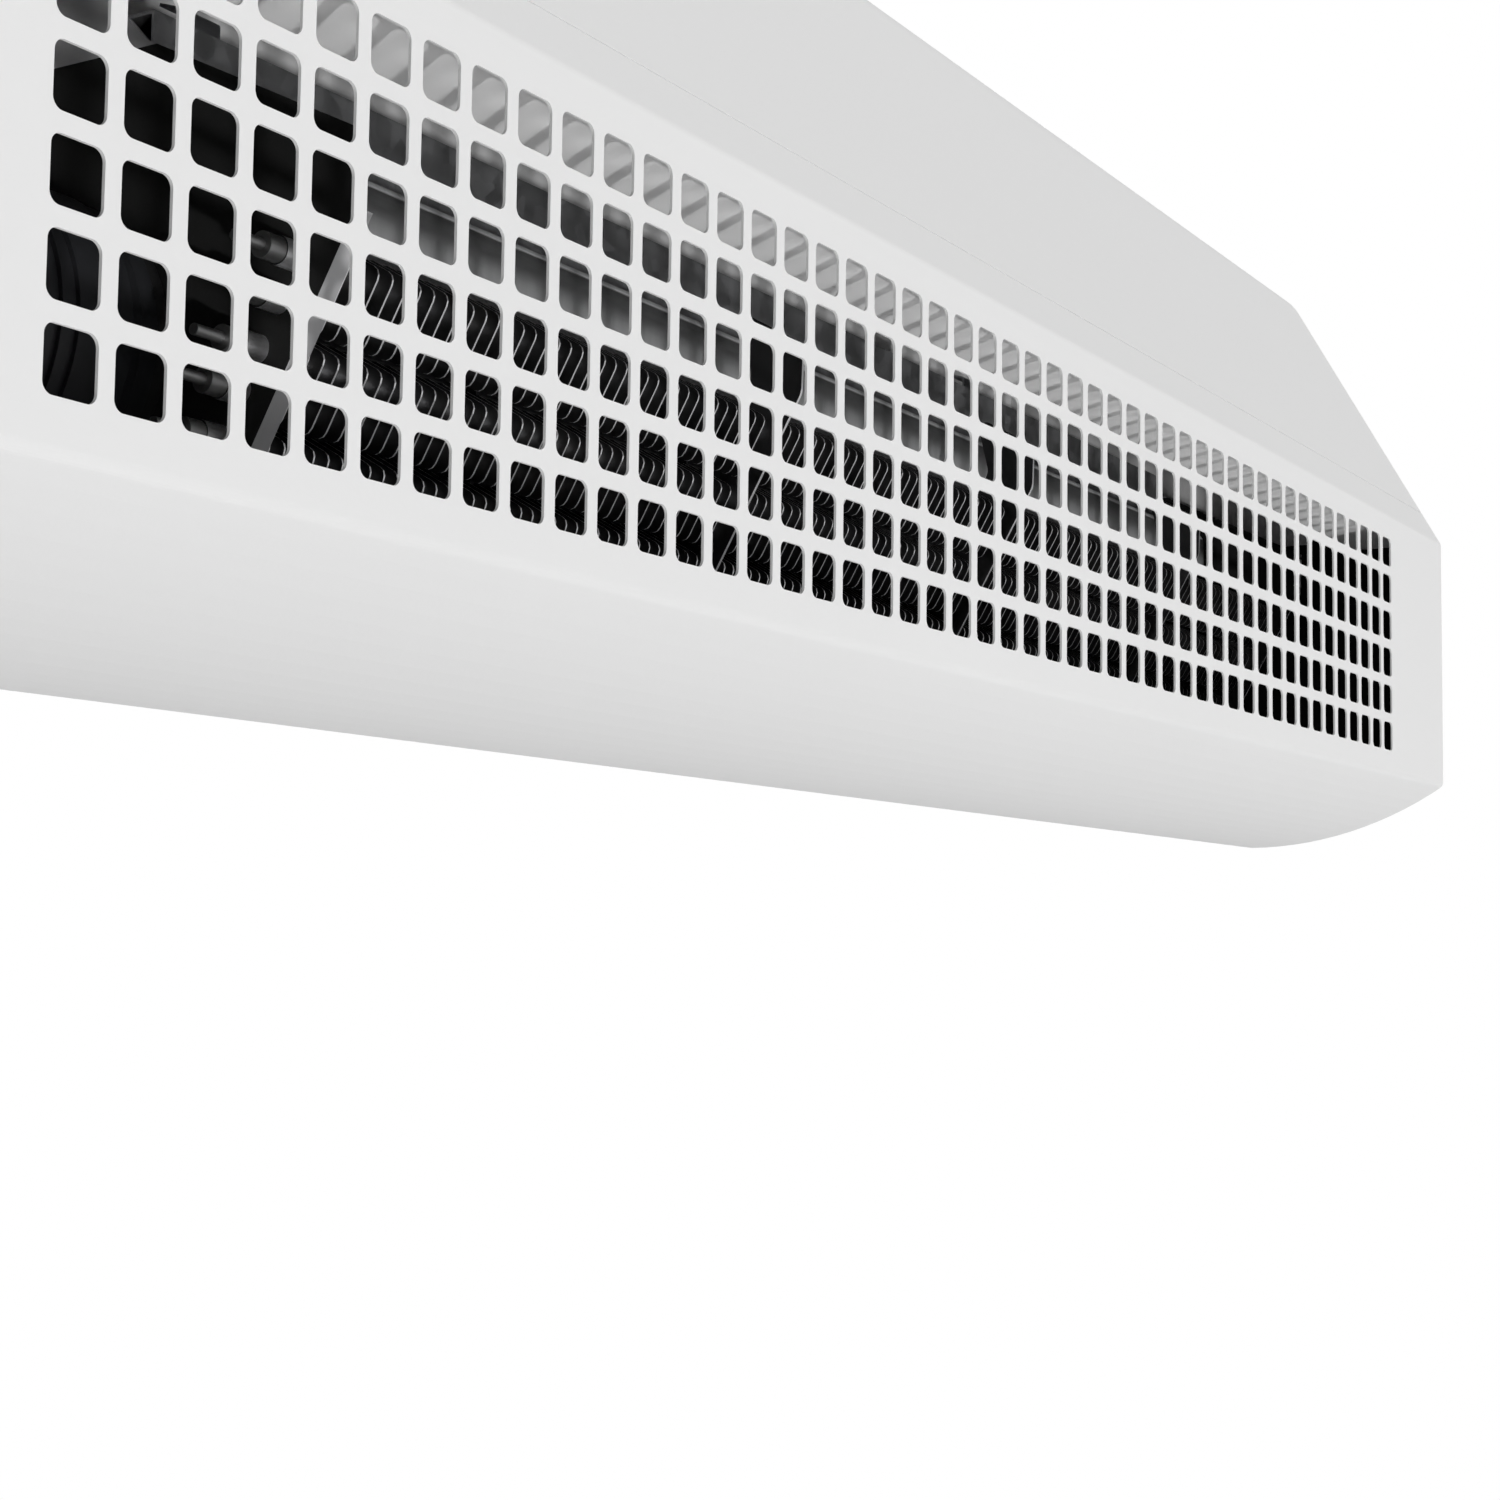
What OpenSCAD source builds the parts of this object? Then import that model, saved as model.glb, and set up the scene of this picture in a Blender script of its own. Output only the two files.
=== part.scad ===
// Wall-hung air curtain with a perforated front cover, electric heater and cross-flow fan.
// X runs along the unit, the front faces -Y and Z is up. The origin is the centre of the
// four wall bolts, on the wall.

/* [Casing] */
// Length of the casing over its end panels
body_l = 1040; // [1000:10:1400]
// Depth from the wall to the front face
body_d = 250; // [246:1:290]
// Height of the upright front face
face_h = 126; // [124:1:150]
// Height of the sloping hood above the front face
hood_rise = 145; // [135:1:170]
// Depth of the sloping hood
hood_run = 83; // [75:1:90]
// Radius of the bend between the sloping hood and its flat top
hood_r = 25; // [10:1:40]
// Depth of the curved underside
belly_run = 103; // [100:1:106]
// Height that the curved underside rises to the front face
belly_drop = 31; // [28:1:36]
// Thickness of the painted sheet
sheet_t = 0.8; // [0.6:0.1:1.2]
// Outer radius of the sharp bends in the painted sheet
bend_r = 4; // [2.5:0.5:6]
// Length of the cover's lip, up the slope of the hood
lip_len = 20; // [16:1:30]
// Gap along the seam between the cover and the hood
seam_gap = 0.6; // [0.5:0.1:2]
// Thickness of the end panels
end_t = 1.5; // [1.2:0.1:2.5]

/* [Grille] */
// Least plain sheet beside the holes at each end of the face
grille_side = 87; // [60:1:200]
// Least plain sheet above and below the holes
grille_margin = 8.5; // [7:0.5:20]
// Distance from one hole to the next
grille_pitch = 18; // [16:0.5:19]
// Width and height of one hole
hole_w = 13.7; // [10:0.1:14.5]
// Corner radius of one hole
hole_r = 2.5; // [1:0.1:4]

/* [Wall bracket] */
// Height of the casing's top above the wall bolts
bolt_drop = 52; // [45:1:60]
// Distance between the wall bolts along the unit
bolt_span = 800; // [600:10:900]
// Distance between the two rows of wall bolts
bolt_rise = 20; // [16:1:24]
// Width of a wall bolt's slot
bolt_w = 7; // [5:0.5:9]
// Length of a wall bolt's slot
bolt_slot = 14; // [10:1:20]
// Thickness of the bracket
bracket_t = 2; // [1.5:0.1:3]

/* [Fan] */
// Radius of the fan rotor over its blades
rotor_r = 50; // [46:0.5:50.5]
// Number of blades
blade_n = 30; // [20:1:36]
// Depth of one blade along the rotor's radius
blade_depth = 11; // [8:0.5:13]
// Thickness of one blade
blade_t = 0.8; // [0.6:0.1:1.2]
// Number of bays between the rotor's discs
rotor_bays = 6; // [4:1:8]
// Radius of the motor's body
motor_r = 44; // [36:1:46]
// Length of the motor's body
motor_l = 90; // [70:1:110]
// Radius of the motor's shaft
shaft_r = 5; // [4:0.5:6]
// Radius of the shaft at the bearing
stub_r = 4; // [3:0.5:5]

/* [Heater] */
// Distance between the heater's support plates
plate_pitch = 190; // [170:1:195]
// Length of one fin across the slope of the heater
fin_h = 23.5; // [21:0.5:24]
// Depth of one fin
fin_d = 18; // [16:0.5:19]
// Thickness of one fin
fin_t = 0.6; // [0.5:0.1:1]
// Distance from one fin to the next
fin_pitch = 6; // [5:0.5:10]
// Radius of the heating tubes
tube_r = 4; // [3:0.5:4]
// Distance between the two legs of one heating tube
leg_gap = 12; // [11:0.5:13]

/* [Outlet] */
// Length of one vane across the air stream
vane_chord = 22; // [16:0.5:24]
// Thickness of one vane
vane_t = 2; // [1.5:0.1:3]
// Radius of the vanes' pivots
vane_pin_r = 2.5; // [2:0.1:3]
// Height of the crank pins above the vanes' pivots
crank_h = 8; // [7:0.5:8.5]

/* [Hidden] */
$fn = 48;

// Finishes
white = [0.93, 0.93, 0.93];
zinc = [0.74, 0.75, 0.76];
steel = [0.6, 0.61, 0.63];
black = [0.1, 0.1, 0.11];
rubber = [0.16, 0.16, 0.17];
brass = [0.78, 0.65, 0.36];
board_green = [0.1, 0.38, 0.24];

// Clearances
fit = 0.3;        // between sheets that lie beside each other
running = 0.06;   // radial, round a turning shaft or pin
eps = 0.02;

// Outer radius of the tight folds at the back
fold_r = sheet_t + fit;

// Casing lines: u is the depth behind the front face, v the height above the underside
face_bottom = belly_drop;
face_top = belly_drop + face_h;
top_v = face_top + hood_rise;
bolt_height = top_v - bolt_drop;
slope = atan2(hood_rise, hood_run);
slope_dir = [cos(slope), sin(slope)];
slope_in = [sin(slope), -cos(slope)];
bracket_gap = 14;
back_u = body_d - bracket_gap;
back_in = back_u - sheet_t;
// Hinge of the front cover
hinge_u = belly_run;
hinge_v = 7;

base_v = 19;
base_top = base_v + sheet_t;
base_front = belly_run + 4;
base_foot = hinge_v + 2.5;
end_x = body_l / 2;
end_in = end_x - end_t;

// Fan
rotor_u = back_in - 58.4;
rotor_v = 105;
scroll_gap = 5;
rail_u = rotor_u - 55.8;
rail_v = rotor_v + 43.5;
rail_h = 20.5;
rail_r = 6;
rail_depth = 14;
rail_t = 1;
fan_top = 200;
scroll_r = rotor_r + scroll_gap;

// Bulkheads and the bays between them
bulk_t = 1.5;
bulk_right = end_in - 21.5;
bulk_left = -263.5;
bay_l = bulk_left + bulk_t;
bay_r = bulk_right;

// Heater bank: three finned hairpins, one above the other, leaning back towards the foot
bank_tilt = 29.6;
bank_down = [sin(bank_tilt), -cos(bank_tilt)];
bank_back = [cos(bank_tilt), sin(bank_tilt)];
bank_top = [rotor_u - 91.4, rotor_v + 21.9];
bank_pitch = fin_h + 3;
head_drop = 11.6;
head = 13.5;
bank_end = head_drop + bank_pitch * 2 + fin_h / 2;
plate_margin = 3;
rail_reach = 26;
plate_t = 1.2;
plate_mid = 160;
plate_xs = [for (k = [-1:1]) plate_mid + k * plate_pitch];
hairpin_out = 5;
tube_tail = 8;

// Outlet
out_front = rotor_u - 38.8;
out_back = rotor_u + scroll_r - 11;
out_t = 1.5;
out_top = base_v + 30;
cheek_t = 2;
vane_v = base_v + 14;
vane_n = 3;
vane_step = (out_back - out_front) / vane_n;
link_t = 2;
crank_r = 1.5;
out_x0 = bay_l + fit;
out_x1 = bay_r - fit;
vane_x0 = out_x0 + cheek_t + 0.5;
vane_x1 = out_x1 - cheek_t - link_t - 1;

// Ears, pins and tabs of the front cover
hinge_r = 3;
ear_t = 2;
tab_x = 300;
tab_w = 14;

function unit(a) = a / norm(a);
function left_of(a) = [-a[1], a[0]];
function reversed(p) = [for (i = [len(p) - 1:-1:0]) p[i]];

// A path moved sideways by t, to its left
function moved_left(p, t) = [
  for (i = [0:len(p) - 1])
    let (
      before = unit(i == 0 ? p[1] - p[0] : p[i] - p[i - 1]),
      after = unit(i == len(p) - 1 ? p[i] - p[i - 1] : p[i + 1] - p[i]),
      mid = unit(left_of(before) + left_of(after))
    )
    p[i] + mid * t / (mid * left_of(before))
];

// The outline of a bent sheet whose right-hand face follows the path
function sheet_outline(p, t) = concat(p, reversed(moved_left(p, t)));

// The arc that rounds corner b between a and c
function corner_arc(a, b, c, r, n) =
  let (
    da = unit(a - b),
    dc = unit(c - b),
    half = acos(da * dc) / 2,
    mid = b + unit(da + dc) * r / sin(half),
    start = b + da * r / tan(half) - mid,
    stop = b + dc * r / tan(half) - mid,
    a0 = atan2(start[1], start[0]),
    turn = atan2(start[0] * stop[1] - start[1] * stop[0], start * stop)
  )
  [for (k = [0:n]) mid + r * [cos(a0 + turn * k / n), sin(a0 + turn * k / n)]];

// A path of [u, v, radius] with its corners rounded
function rounded(p, n = 6) = [
  for (i = [0:len(p) - 1])
    each (i == 0 || i == len(p) - 1 || p[i][2] == 0)
      ? [[p[i][0], p[i][1]]]
      : corner_arc(xy(p[i - 1]), xy(p[i]), xy(p[i + 1]), p[i][2], n)
];
function xy(p) = [p[0], p[1]];

// A closed outline of [u, v, radius] with every corner rounded
function rounded_loop(p, n = 3) = [
  for (i = [0:len(p) - 1])
    each corner_arc(
      xy(p[(i + len(p) - 1) % len(p)]), xy(p[i]), xy(p[(i + 1) % len(p)]), p[i][2], n
    )
];

function on_slope(s) = [0, face_top] + slope_dir * s;

// The curved underside, from the foot of the face to the hinge
belly_a = 2 * atan(belly_drop / belly_run);
belly_r = belly_run / sin(belly_a);
belly_steps = 14;
function belly_at(a) = [belly_run - belly_r * sin(a), belly_r * (1 - cos(a)), 0];
belly_arc = [for (k = [1:belly_steps]) belly_at(belly_a * (1 - k / belly_steps))];
foot_corner = [0, face_bottom, bend_r];

cover_path = rounded(concat(
  [concat(on_slope(lip_len), [0]), [0, face_top, bend_r], foot_corner],
  belly_arc
));
hood_tail = 18;
hood_back = back_u + fit + sheet_t;
hood_path = rounded([
  [hood_back, top_v - hood_tail, 0],
  [hood_back, top_v, fold_r],
  [hood_run, top_v, hood_r],
  concat(on_slope(lip_len + seam_gap), [0])
], 8);

// What lies inside the casing's skin, with a gap g to the sheet
function inside(g) = concat(
  moved_left(rounded(concat(
    [[back_u, base_top, 0], [back_u, top_v, bend_r], [hood_run, top_v, hood_r]],
    [[0, face_top, bend_r], foot_corner],
    belly_arc
  ), 8), sheet_t + g),
  [[belly_run, base_top]]
);

// Puts children drawn in depth and height behind the face into the part's frame
module in_frame() translate([0, -body_d, -bolt_height]) children();

// A profile in depth and height, drawn out from x0 to x1
module along_x(x0, x1)
  translate([x0, 0, 0]) rotate([90, 0, 90]) linear_extrude(x1 - x0) children();

module bent_sheet(path, t, x0, x1) along_x(x0, x1) polygon(sheet_outline(path, t));

module rod_x(r, x0, x1, at) translate([x0, at[0], at[1]]) rotate([0, 90, 0]) cylinder(r = r, h = x1 - x0);

module ring_x(r, bore, x0, x1, at)
  translate([x0, at[0], at[1]]) rotate([0, 90, 0]) linear_extrude(x1 - x0) difference() {
    circle(r);
    circle(bore);
  }

// A pan-head screw whose head stands on z = 0 and whose shank goes down
module pan_screw(r, l)
  rotate_extrude() polygon(concat(
    [[0, -l], [r * 0.7, -l], [r, -l + r * 0.5], [r, 0], [r * 2, 0]],
    [for (k = [1:4]) [r * 2 * cos(90 * k / 4), r * 1.2 * sin(90 * k / 4)]]
  ));

// ---------------------------------------------------------------- hanging

bracket_h = 44;
hook_w = 10;
hook_h = 10;
bracket_l = bolt_span + 80;
bracket_v = bolt_height - bracket_h / 2;

module wall_bracket() color(zinc) in_frame() difference() {
  bent_sheet([
    [body_d, bolt_height + bracket_h / 2],
    [body_d, bracket_v],
    [body_d - hook_w - bracket_t, bracket_v],
    [body_d - hook_w - bracket_t, bracket_v + hook_h + bracket_t]
  ], -bracket_t, -bracket_l / 2, bracket_l / 2);
  for (sx = [-1, 1], sz = [-1, 1])
    translate([sx * bolt_span / 2, body_d + eps, bolt_height + sz * bolt_rise / 2])
      wall_slot();
}

module wall_slot() rotate([90, 0, 0]) linear_extrude(bracket_t + 2 * eps) {
  square([bolt_slot - bolt_w, bolt_w], center = true);
  for (s = [-1, 1])
    translate([s * (bolt_slot - bolt_w) / 2, 0]) circle(d = bolt_w);
}

hanger_u = body_d - bracket_t - 3;
hanger_foot = bracket_v + bracket_t;
hanger_top = hanger_foot + 24;
hanger_l = bolt_span - 60;

module hanger_rail() color(zinc) in_frame() bent_sheet([
  [hanger_u, hanger_foot],
  [hanger_u, hanger_top],
  [back_u, hanger_top],
  [back_u, hanger_top + 16]
], -bracket_t, -hanger_l / 2, hanger_l / 2);

plate_flange = 9;
module back_plate() color(white) in_frame() difference() {
  bent_sheet(rounded([
    [back_in - plate_flange, base_top, 0],
    [back_u, base_top, fold_r],
    [back_u, top_v - sheet_t - 0.1, fold_r],
    [back_in - plate_flange, top_v - sheet_t - 0.1, 0]
  ]), sheet_t, -end_in + fit, end_in - fit);
  rod_y(gland_r + 0.2, back_in - 1, back_u + 1, [gland_x, gland_v]);
}

module rod_y(r, u0, u1, at) translate([at[0], u0, at[1]]) rotate([-90, 0, 0]) cylinder(r = r, h = u1 - u0);

// ---------------------------------------------------------------- casing

module hood() color(white) in_frame() difference() {
  bent_sheet(hood_path, sheet_t, -end_x, end_x);
  for (x = nut_xs, u = nut_us)
    translate([x, u, top_v - sheet_t - eps]) cylinder(r = nut_r, h = sheet_t + 2 * eps);
}

nut_xs = [-bolt_span / 2, bolt_span / 2];
nut_us = [hood_run + 37, back_u - 30];
nut_r = 5.5;
nut_bore = 3.4;
nut_l = 14;

module suspension_nuts() color(steel) in_frame()
  for (x = nut_xs, u = nut_us) translate([x, u, top_v - nut_l]) rotate_extrude() polygon([
    [nut_bore, 0],
    [nut_r - 0.1, 0],
    [nut_r - 0.1, nut_l],
    [nut_r + 2, nut_l],
    [nut_r + 2, nut_l + 0.8],
    [nut_bore, nut_l + 0.8]
  ]);

// The strip behind the seam, with a slot for each of the cover's tabs
strip_under = 14;
strip_over = 12;
strip_s0 = lip_len - strip_under;
strip_s1 = lip_len + seam_gap + strip_over;
tab_s = lip_len - 6;
tab_dir = unit([face_top + lip_len - hinge_v, hinge_u]);
tab_l = 9;
tab_at = on_slope(tab_s) + slope_in * sheet_t;
strip_face = sheet_t + fit;

module seam_strip() color(white) in_frame() difference() {
  bent_sheet(
    [on_slope(strip_s1) + slope_in * strip_face, on_slope(strip_s0) + slope_in * strip_face],
    sheet_t, -end_in + fit, end_in - fit
  );
  for (x = [-tab_x, tab_x]) tab(x, tab_w + 1.5, sheet_t + 0.8);
}

// A tab that points inwards along the cover's path as it shuts
module tab(x, w, t) along_x(x - w / 2, x + w / 2) polygon([
  tab_at - tab_dir * 0.6 - left_of(tab_dir) * t / 2,
  tab_at + tab_dir * tab_l - left_of(tab_dir) * t / 2,
  tab_at + tab_dir * tab_l + left_of(tab_dir) * t / 2,
  tab_at - tab_dir * 0.6 + left_of(tab_dir) * t / 2
]);

// Clips behind the strip that grip the tabs: a foot at each side of the slot and two jaws
clip_t = 0.8;
clip_gap = 0.35;
clip_reach = 12;
clip_foot = 7;
strip_back = strip_face + sheet_t;

module spring_clips() color(steel) in_frame() for (x = [-tab_x, tab_x], s = [-1, 1])
  along_x(x - tab_w / 2 - 2, x + tab_w / 2 + 2) jaw(s);

// One jaw: it lies against the strip, then turns inwards beside the tab
module jaw(s) {
  across = sheet_t / 2 + clip_gap;
  depth = strip_back - sheet_t;
  root = tab_at + tab_dir * depth / (tab_dir * slope_in);
  side = s * across / (slope_dir * left_of(tab_dir));
  thick = s * clip_t / (slope_dir * left_of(tab_dir));
  polygon([
    root + slope_dir * side,
    root + slope_dir * side + tab_dir * clip_reach,
    root + slope_dir * (side + thick) + tab_dir * clip_reach,
    root + slope_dir * (side + thick) + tab_dir * clip_t * 1.2,
    root + slope_dir * (side + thick + s * clip_foot) + tab_dir * clip_t * 1.2,
    root + slope_dir * (side + thick + s * clip_foot)
  ]);
}

// ---------------------------------------------------------------- front cover

grille_cols = floor((body_l - 2 * grille_side) / grille_pitch);
grille_rows = floor((face_h - 2 * grille_margin) / grille_pitch);
grille_w = (grille_cols - 1) * grille_pitch;
grille_h = (grille_rows - 1) * grille_pitch;
grille_v = (face_bottom + face_top) / 2;
plain = bend_r + 2;

module grille_hole() {
  square([hole_w - 2 * hole_r, hole_w], center = true);
  square([hole_w, hole_w - 2 * hole_r], center = true);
  for (sx = [-1, 1], sy = [-1, 1])
    translate([sx * (hole_w / 2 - hole_r), sy * (hole_w / 2 - hole_r)]) circle(hole_r, $fn = 32);
}

// The perforated flat of the face, between its two bends
module grille_face()
  translate([0, sheet_t, 0]) rotate([90, 0, 0]) linear_extrude(sheet_t) difference() {
    translate([-end_x, face_bottom + plain]) square([body_l, face_h - 2 * plain]);
    for (i = [0:grille_cols - 1], j = [0:grille_rows - 1])
      translate([i * grille_pitch - grille_w / 2, grille_v + j * grille_pitch - grille_h / 2])
        grille_hole();
  }

module front_cover() color(white) in_frame() union() {
  grille_face();
  difference() {
    bent_sheet(cover_path, sheet_t, -end_x, end_x);
    translate([-end_x - 1, -1, face_bottom + plain])
      cube([body_l + 2, sheet_t + 2, face_h - 2 * plain]);
  }
  for (x = [-tab_x, tab_x]) tab(x, tab_w, sheet_t);
}

// The ledge that stiffens the cover: a level sheet behind the face, over the grille
ledge_run = bank_top[0] - 42.4;
ledge_end = 20;
ledge_t = 1;
ledge_under = 2;
module cover_ledge() color(white) in_frame() bent_sheet([
  [sheet_t + eps, face_top - ledge_under - 7],
  [sheet_t + eps, face_top - ledge_under],
  [ledge_run, face_top - ledge_under],
  [ledge_run, face_top - ledge_under + 5]
], -ledge_t, -end_x + ledge_end, end_x - ledge_end);

// The ears that hinge the cover, welded inside the underside near its ends
ear_x = end_in - 1 - ear_t;
ear_l = 26;

module cover_ears() color(zinc) in_frame() for (x = [-ear_x - ear_t, ear_x]) difference() {
  along_x(x, x + ear_t) union() {
    intersection() {
      translate([hinge_u - ear_l, 0]) square([ear_l, 16]);
      polygon(concat(
        moved_left(reversed([for (p = belly_arc) xy(p)]), -sheet_t - eps),
        [[hinge_u - ear_l * 2, 8 + belly_drop / 2], [hinge_u, 8]]
      ));
    }
    translate([hinge_u, hinge_v]) intersection() {
      circle(r = hinge_r + 2);
      translate([-8, sheet_t + 0.1 - hinge_v]) square(16);
    }
  }
  rod_x(hinge_r + running, x - 1, x + ear_t + 1, [hinge_u, hinge_v]);
}

module hinge_pins() color(steel) in_frame() for (s = [-1, 1]) {
  rod_x(hinge_r, min(s * (ear_x - 2), s * end_in), max(s * (ear_x - 2), s * end_in), [hinge_u, hinge_v]);
}

// ---------------------------------------------------------------- ends

screw_r = 2;
end_screws = [
  [hood_run + 30, top_v - 8],
  [back_u - 40, top_v - 8],
  [back_u - 8, top_v - 82],
  [back_u - 8, base_v + 52]
];

lug_r = hinge_v - sheet_t - 0.4;
module end_panel(x) color(white) in_frame() difference() {
  along_x(x, x + end_t) union() {
    polygon(inside(fit));
    translate([hinge_u, hinge_v]) circle(r = lug_r);
    translate([hinge_u - 1, hinge_v]) square([lug_r + 1, base_top + 1 - hinge_v]);
  }
  for (p = end_screws) rod_x(screw_r + 0.1, x - 1, x + end_t + 1, p);
}
module end_panel_left() end_panel(-end_x);
module end_panel_right() end_panel(end_in);

angle_w = 16;
angle_t = 1.5;
angle_u0 = hood_run + 18;
angle_v0 = end_screws[3][1] - 20;
angle_v1 = end_screws[2][1] + 20;

// Angles under the hood's top and inside the back plate, which take the end screws
module end_angles() color(zinc) in_frame() for (s = [-1, 1]) mirror([s < 0 ? 1 : 0, 0, 0]) {
  difference() {
    union() {
      translate([end_in - angle_w, angle_u0, top_v - 2 * sheet_t - angle_t])
        cube([angle_w, back_in - 22 - angle_u0, angle_t]);
      translate([end_in - angle_t, angle_u0, top_v - 2 * sheet_t - angle_w])
        cube([angle_t, back_in - 22 - angle_u0, angle_w]);
    }
    for (p = [end_screws[0], end_screws[1]]) rod_x(screw_r + 0.1, end_in - 3, end_in + 1, p);
  }
  difference() {
    union() {
      translate([end_in - angle_w, back_in - angle_t, angle_v0]) cube([angle_w, angle_t, angle_v1 - angle_v0]);
      translate([end_in - angle_t, back_in - angle_w, angle_v0]) cube([angle_t, angle_w, angle_v1 - angle_v0]);
    }
    for (p = [end_screws[2], end_screws[3]]) rod_x(screw_r + 0.1, end_in - 3, end_in + 1, p);
  }
}

module casing_screws() color(steel) in_frame() for (s = [-1, 1], p = end_screws)
  translate([s * end_x, p[0], p[1]]) rotate([0, s * 90, 0]) pan_screw(screw_r, 8);

// The flat base behind the cover, with the opening for the outlet. Its front flange hangs
// down behind the cover's edge and is cut back at the ends for the hinges.
module base_panel() color(white) in_frame() difference() {
  bent_sheet([
    [base_front, base_foot],
    [base_front, base_v],
    [back_u, base_v]
  ], sheet_t, -end_in + fit, end_in - fit);
  for (s = [-1, 1])
    translate([s * end_in - 10, base_front - 5, base_foot - 1]) cube([20, 10, base_v - base_foot]);
  translate([out_x0 - 0.2, out_front - out_t - 0.2, base_v - 1])
    cube([out_x1 - out_x0 + 0.4, out_back - out_front + 2 * out_t + 0.4, 4]);
}

// ---------------------------------------------------------------- bulkheads

// The front edge of the bulkheads, from the hood down to the base
bulk_face = fin_d / 2 + 3;
bulk_nose = bank_top[0] - 18;
bulk_front = concat(
  [[bulk_nose, top_v], [bulk_nose, rail_v]],
  [for (s = [-head, bank_end]) bank_top - bank_back * bulk_face + bank_down * s],
  [[base_front + 2, base_top + 4], [base_front + 2, base_top]]
);
tongue_gap = 1.6;

module bulkhead_shape() difference() {
  intersection() {
    polygon(inside(fit));
    polygon(concat(
      bulk_front,
      [[back_in - fit, base_top], [back_in - fit, top_v]]
    ));
  }
  for (v = [base_top, top_v - 2 * sheet_t - fit - 0.1])
    translate([back_in - plate_flange - fit, v]) square([plate_flange + 1, sheet_t + fit]);
  for (c = tube_centres) translate(c) circle(r = tube_r + 0.1);
}

// What is cut from the bulkheads above the rail and the fan cover, for the wires to the bays
bulk_cut = [
  [0, rail_v + 4],
  [bulk_nose - 2, rail_v + 4],
  [rail_u + 25, fan_top - 8],
  [rotor_u - 9, fan_top + 14],
  [rotor_u - 9, top_v],
  [0, top_v]
];

// The left one has a flange along its slanting front edge, the right one along its upright edge
slant_w = 5;
slant = [for (s = [-head, bank_end]) bank_top - bank_back * bulk_face + bank_down * s];

module bulkhead_left() color(zinc) in_frame() union() {
  along_x(bulk_left, bulk_left + bulk_t) difference() {
    bulkhead_shape();
    polygon(bulk_cut);
    translate([rotor_u, rotor_v]) circle(r = ring_in);
    for (p = motor_holes) translate(p) circle(r = screw_r + 0.1);
  }
  along_x(bulk_left + bulk_t - eps, bulk_left + bulk_t + slant_w)
    polygon([slant[0], slant[1], slant[1] + bank_back * bulk_t, slant[0] + bank_back * bulk_t]);
}

nose_w = 8;
nose_v = bank_top[1] + 9;
module bulkhead_right() color(zinc) in_frame() union() {
  along_x(bulk_right, bulk_right + bulk_t) difference() {
    bulkhead_shape();
    polygon(bulk_cut);
    translate([rotor_u, rotor_v]) circle(r = rubber_r + 0.1);
  }
  along_x(bulk_right - nose_w, bulk_right + eps)
    translate([bulk_nose, nose_v]) square([bulk_t, rail_v + 2 - nose_v]);
}

// ---------------------------------------------------------------- air guides

// The rear guide: a flange, an arc round the rotor and a wall down to the outlet
scroll_start = 93;
scroll_stop = -acos((out_back - rotor_u) / scroll_r);
scroll_steps = 20;
function on_scroll(a) = [rotor_u, rotor_v] + scroll_r * [cos(a), sin(a)];
scroll_top = on_scroll(scroll_start);
scroll_path = concat(
  [[out_back, out_top + fit]],
  [for (k = [0:scroll_steps]) on_scroll(scroll_stop + (scroll_start - scroll_stop) * k / scroll_steps)],
  [[rail_u + rail_depth + 1, scroll_top[1]]]
);

module scroll() color(zinc) in_frame()
  bent_sheet(scroll_path, -sheet_t, bay_l + fit, bay_r - fit);

// The front guide: from the outlet up to a rolled edge close under the rotor
tongue_a = 228;
tongue_tip = [rotor_u, rotor_v] + (rotor_r + 5) * [cos(tongue_a), sin(tongue_a)];
roll_r = 2.5;

module tongue_plate() color(zinc) in_frame() {
  bent_sheet([
    [out_front - out_t, out_top + fit],
    tongue_tip + [-1, -1]
  ], sheet_t, bay_l + fit, bay_r - fit);
  rod_x(roll_r, bay_l + fit, bay_r - fit, tongue_tip + [-0.3, -0.6]);
}

// ---------------------------------------------------------------- fan

cage_x0 = bay_l + 4;
cage_x1 = bay_r - 8;
disc_t = 1.5;
disc_step = (cage_x1 - cage_x0 - disc_t) / rotor_bays;
blade_lean = 38;
blade_bow = 2.2;
hub_r = 13;
hub_l = 16;

// One blade, bowed forwards, between two radii
blade_steps = 4;
function blade_line(off) = [
  for (k = [0:blade_steps])
    let (s = k / blade_steps)
    [rotor_r - blade_depth * (1 - s), off + blade_bow * 4 * s * (1 - s) + s * blade_depth * tan(blade_lean) * 0.4]
];
module blade() intersection() {
  polygon(concat(blade_line(0), reversed(blade_line(blade_t))));
  circle(r = rotor_r - 0.2);
}

module rotor_cage() color(black) in_frame() union() {
  translate([cage_x0 + eps, rotor_u, rotor_v]) rotate([90, 0, 90])
    linear_extrude(cage_x1 - cage_x0 - 2 * eps)
      for (k = [0:blade_n - 1]) rotate(360 * k / blade_n) blade();
  for (k = [0:rotor_bays])
    ring_x(rotor_r, k == 0 ? shaft_r : (k == rotor_bays ? stub_r : rotor_r - blade_depth - 2),
      cage_x0 + k * disc_step, cage_x0 + k * disc_step + disc_t, [rotor_u, rotor_v]);
  ring_x(hub_r, shaft_r, cage_x0 + disc_t - eps, cage_x0 + hub_l, [rotor_u, rotor_v]);
  ring_x(hub_r, stub_r, cage_x1 - hub_l, cage_x1 - disc_t + eps, [rotor_u, rotor_v]);
}

ring_t = 4;
ring_in = 30;
motor_x1 = bulk_left - ring_t;
motor_x0 = motor_x1 - motor_l;
motor_hole_r = 37;
motor_holes = [for (k = [0:3]) [rotor_u, rotor_v] + motor_hole_r * [cos(45 + 90 * k), sin(45 + 90 * k)]];

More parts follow.
